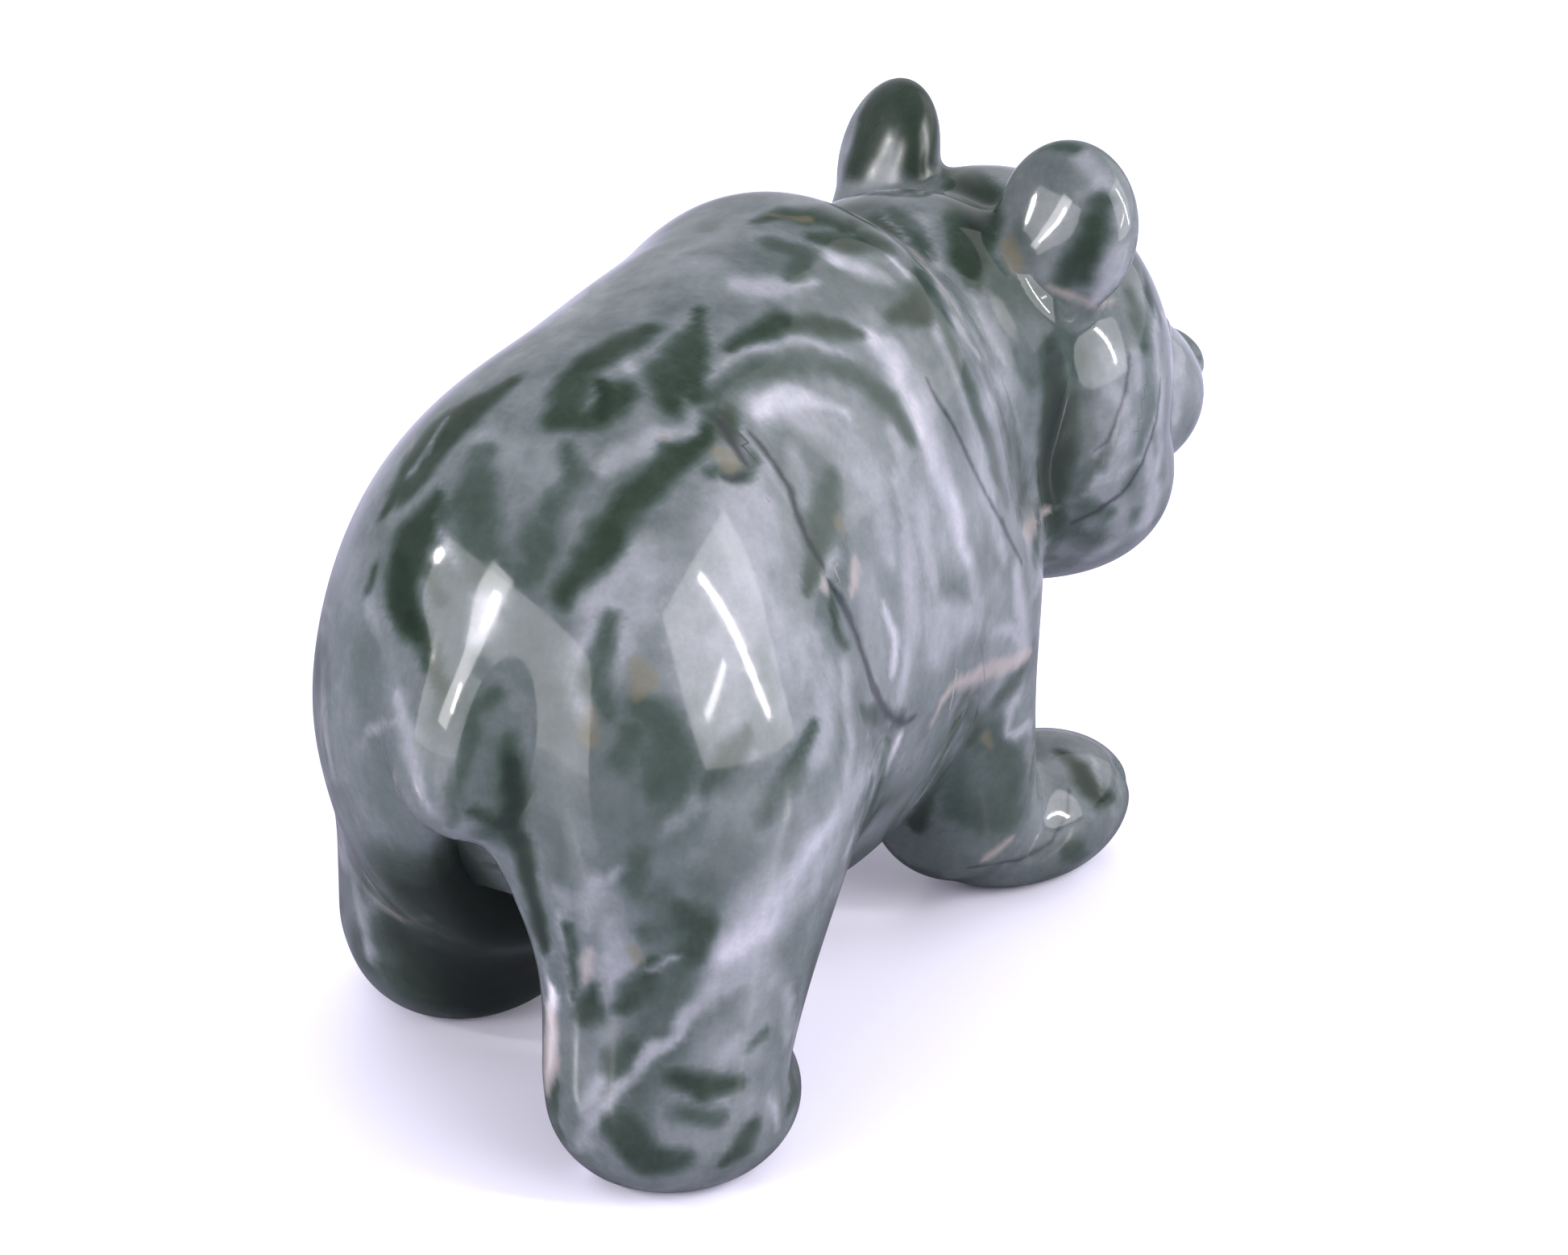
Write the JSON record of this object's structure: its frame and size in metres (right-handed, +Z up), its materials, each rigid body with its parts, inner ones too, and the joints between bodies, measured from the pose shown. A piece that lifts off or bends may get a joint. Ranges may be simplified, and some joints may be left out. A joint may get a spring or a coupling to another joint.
{
  "type": "crystal panda carving",
  "caption": "Walking panda carved from one piece of polished, mottled green and grey-white stone, with its head turned to its right, standing on its own four feet.",
  "frame": {"origin": "middle of the outer box, on the ground under the feet", "axes": "+Z up, -Y the way the panda walks, +X its left side"},
  "size_m": [0.0382, 0.0762, 0.0485],
  "materials": {
    "stone": "polished"
  },
  "bodies": {
    "root": {"panda": "stone"}
  },
  "joints": []
}
